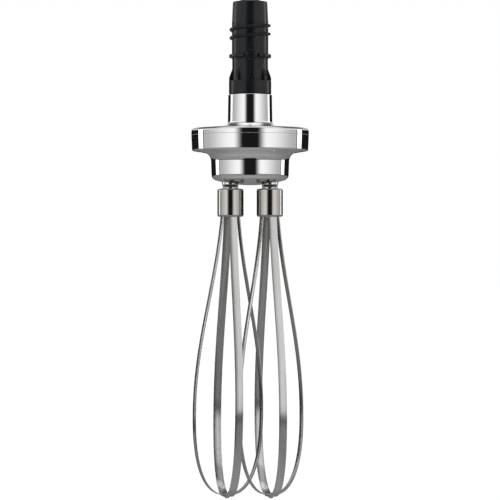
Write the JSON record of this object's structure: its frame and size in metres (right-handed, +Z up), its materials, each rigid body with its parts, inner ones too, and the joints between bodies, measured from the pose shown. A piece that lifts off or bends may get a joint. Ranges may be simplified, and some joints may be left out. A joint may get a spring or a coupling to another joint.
{
  "type": "blender whisk attachment",
  "caption": "Twin whisk attachment for a stick blender: bayonet coupler, polished round gear head, and strip whisks that turn in opposite directions to beat egg whites, cream and batters",
  "frame": {"origin": "On the centre axis of the coupler, at the top edge of the polished neck, where the motor body comes down on its seat", "axes": "+Z up along the coupler and the drive shaft, with the whisks hanging along -Z; +X from the left whisk to the right whisk; front towards -Y"},
  "size_m": [0.0956, 0.095, 0.4166],
  "materials": {
    "black_plastic": "satin moulded black plastic",
    "grey_steel": "turned grey steel",
    "polished_chrome": "mirror polished casting",
    "satin_stainless": "satin stainless steel",
    "machined_steel": "machined steel",
    "bearing_bronze": "sintered bearing bronze",
    "black_rubber": "black seal rubber"
  },
  "bodies": {
    "housing": {"coupler": "black_plastic", "top_cover": "polished_chrome", "lower_housing": "polished_chrome", "cover_gasket": "black_rubber", "cover_screw_1": "machined_steel", "cover_screw_2": "machined_steel", "cover_screw_3": "machined_steel", "upper_shaft_bearing": "bearing_bronze", "lower_shaft_bearing": "machined_steel", "bearing_clip": "machined_steel", "shaft_seal": "black_rubber", "cluster_pin": "machined_steel", "left_upper_bush": "bearing_bronze", "left_lower_bush": "bearing_bronze", "right_upper_bush": "bearing_bronze", "right_lower_bush": "bearing_bronze"},
    "drive_shaft": {"drive_shaft": "machined_steel", "drive_hub": "grey_steel", "drive_hub_pin": "machined_steel", "input_pinion": "machined_steel"},
    "cluster_gear": {"cluster_gear": "machined_steel"},
    "left_whisk": {"left_spindle": "machined_steel", "left_output_gear": "machined_steel", "left_gear_clip": "machined_steel", "left_seal": "black_rubber", "left_hub": "satin_stainless", "left_cross_pin": "machined_steel", "left_ferrule": "satin_stainless", "left_inner_loop": "satin_stainless", "left_outer_loop": "satin_stainless", "left_rivet": "satin_stainless"},
    "right_whisk": {"right_spindle": "machined_steel", "right_output_gear": "machined_steel", "right_gear_clip": "machined_steel", "right_seal": "black_rubber", "right_hub": "satin_stainless", "right_cross_pin": "machined_steel", "right_ferrule": "satin_stainless", "right_inner_loop": "satin_stainless", "right_outer_loop": "satin_stainless", "right_rivet": "satin_stainless"}
  },
  "joints": [
    {"name": "left_whisk_spin", "type": "hinge", "parent": "housing", "child": "left_whisk", "pos_m": [-0.016, 0, -0.06], "axis": [0, 0, 1], "continuous": true},
    {"name": "right_whisk_spin", "type": "hinge", "parent": "housing", "child": "right_whisk", "pos_m": [0.016, 0, -0.06], "axis": [0, 0, 1], "continuous": true},
    {"name": "cluster_spin", "type": "hinge", "parent": "housing", "child": "cluster_gear", "pos_m": [-0.008, 0.02049, -0.036], "axis": [0, 0, 1], "continuous": true},
    {"name": "drive_spin", "type": "hinge", "parent": "housing", "child": "drive_shaft", "pos_m": [0, 0, 0.02], "axis": [0, 0, 1], "continuous": true}
  ],
  "couplings": [
    {"joint": "cluster_spin", "follows": "drive_spin", "ratio": -0.375},
    {"joint": "left_whisk_spin", "follows": "drive_spin", "ratio": 0.14062},
    {"joint": "right_whisk_spin", "follows": "drive_spin", "ratio": -0.14062}
  ]
}
